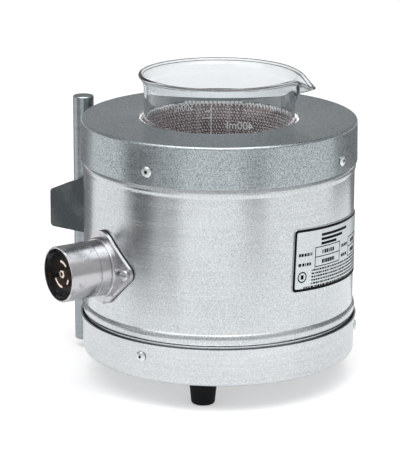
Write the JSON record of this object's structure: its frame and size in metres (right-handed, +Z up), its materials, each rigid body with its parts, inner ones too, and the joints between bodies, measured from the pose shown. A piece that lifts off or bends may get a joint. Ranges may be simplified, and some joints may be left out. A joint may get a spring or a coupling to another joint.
{
  "type": "magnetic stirrer",
  "caption": "Round aluminium housing with a heated cloth well for a beaker, a magnetic stirring drive under it, a side power inlet and a clamped support rod.",
  "frame": {"origin": "on the axis of the round housing, at the plane of the bench that the three feet stand on", "axes": "+Z up along the housing axis, -Y towards the name plate at the front, +Y towards the support rod at the rear"},
  "size_m": [0.1922, 0.1989, 0.1848],
  "materials": {
    "wall_aluminium": "satin rolled sheet",
    "pan_aluminium": "satin pressed sheet",
    "cap_aluminium": "dull satin, spun",
    "rivet_aluminium": "satin",
    "foot_rubber": "moulded, matte",
    "steel_screws": "bright zinc plate",
    "zinc_steel": "zinc plated",
    "seal_rubber": "matte",
    "plate_aluminium": "anodised, printed",
    "glass_cloth": "knitted glass yarn, heat browned",
    "heater_cloth": "woven glass tape",
    "glass_wool": "fibrous",
    "lamination_steel": "stacked laminations",
    "bronze": "sintered",
    "inlet_nickel": "nickel plated, lightly worn",
    "black_phenolic": "moulded",
    "contact_brass": "bright",
    "bracket_casting": "dark grey, fine texture",
    "lead_black": "smooth",
    "lead_green": "smooth",
    "lead_sleeving": "braided glass sleeving",
    "rod_steel": "drawn, satin",
    "ferrite": "sintered, dark",
    "lab_glass": "clear, white printed scale",
    "white_jacket": "smooth"
  },
  "bodies": {
    "housing": {"body_shell": "wall_aluminium", "base_pan": "pan_aluminium", "top_cap": "cap_aluminium", "cap_rivets": "rivet_aluminium", "base_rivets": "rivet_aluminium", "foot_1": "foot_rubber", "foot_2": "foot_rubber", "foot_3": "foot_rubber", "foot_screws": "steel_screws", "standoff_posts": "zinc_steel", "shelf": "zinc_steel", "shelf_screws": "steel_screws", "lead_grommets": "seal_rubber", "name_plate": "plate_aluminium", "fabric_well": "glass_cloth", "heating_blanket": "heater_cloth", "insulation_jacket": "glass_wool", "insulation_pad": "glass_wool", "motor_can": "zinc_steel", "motor_end_plate": "zinc_steel", "motor_stator": "lamination_steel", "motor_bearings": "bronze", "motor_mounts": "seal_rubber", "motor_screws": "steel_screws", "motor_nuts": "steel_screws", "inlet_flange": "inlet_nickel", "inlet_gasket": "seal_rubber", "inlet_shell": "inlet_nickel", "inlet_insulator": "black_phenolic", "inlet_blades": "contact_brass", "inlet_pin": "contact_brass", "inlet_screws": "steel_screws", "inlet_nuts": "steel_screws", "rod_bracket": "bracket_casting", "bracket_screws": "steel_screws", "terminal_block": "black_phenolic", "terminal_screws": "contact_brass", "ground_screw": "steel_screws", "ground_nut": "steel_screws", "supply_leads": "lead_black", "ground_lead": "lead_green", "heater_leads": "lead_sleeving", "motor_leads": "lead_black"},
    "drive_rotor": {"motor_rotor": "ferrite", "motor_shaft": "rod_steel", "magnet_hub": "contact_brass", "hub_set_screw": "steel_screws", "magnet_yoke": "zinc_steel", "drive_magnets": "ferrite"},
    "beaker": {"beaker": "lab_glass"},
    "stir_bar": {"stir_bar_jacket": "white_jacket", "stir_bar_core": "ferrite"},
    "support_rod": {"support_rod": "rod_steel"},
    "clamp_screw": {"clamp_screw": "steel_screws"}
  },
  "joints": [
    {"name": "drive_spin", "type": "hinge", "parent": "housing", "child": "drive_rotor", "pos_m": [0, 0, 0.04], "axis": [0, 0, 1], "continuous": true},
    {"name": "beaker_lift", "type": "slide", "parent": "housing", "child": "beaker", "axis": [0, 0, 1], "range_m": [0, 0.13]},
    {"name": "stir_spin", "type": "hinge", "parent": "beaker", "child": "stir_bar", "pos_m": [0, 0, 0.0668], "axis": [0, 0, 1], "continuous": true},
    {"name": "rod_slide", "type": "slide", "parent": "housing", "child": "support_rod", "axis": [0, 0, 1], "range_m": [-0.004, 0.06]},
    {"name": "clamp_turn", "type": "hinge", "parent": "housing", "child": "clamp_screw", "pos_m": [0.015, 0.0963, 0.0925], "axis": [1, 0, 0], "range_deg": [0, 360]}
  ],
  "couplings": [
    {"joint": "stir_spin", "follows": "drive_spin", "ratio": 1}
  ]
}
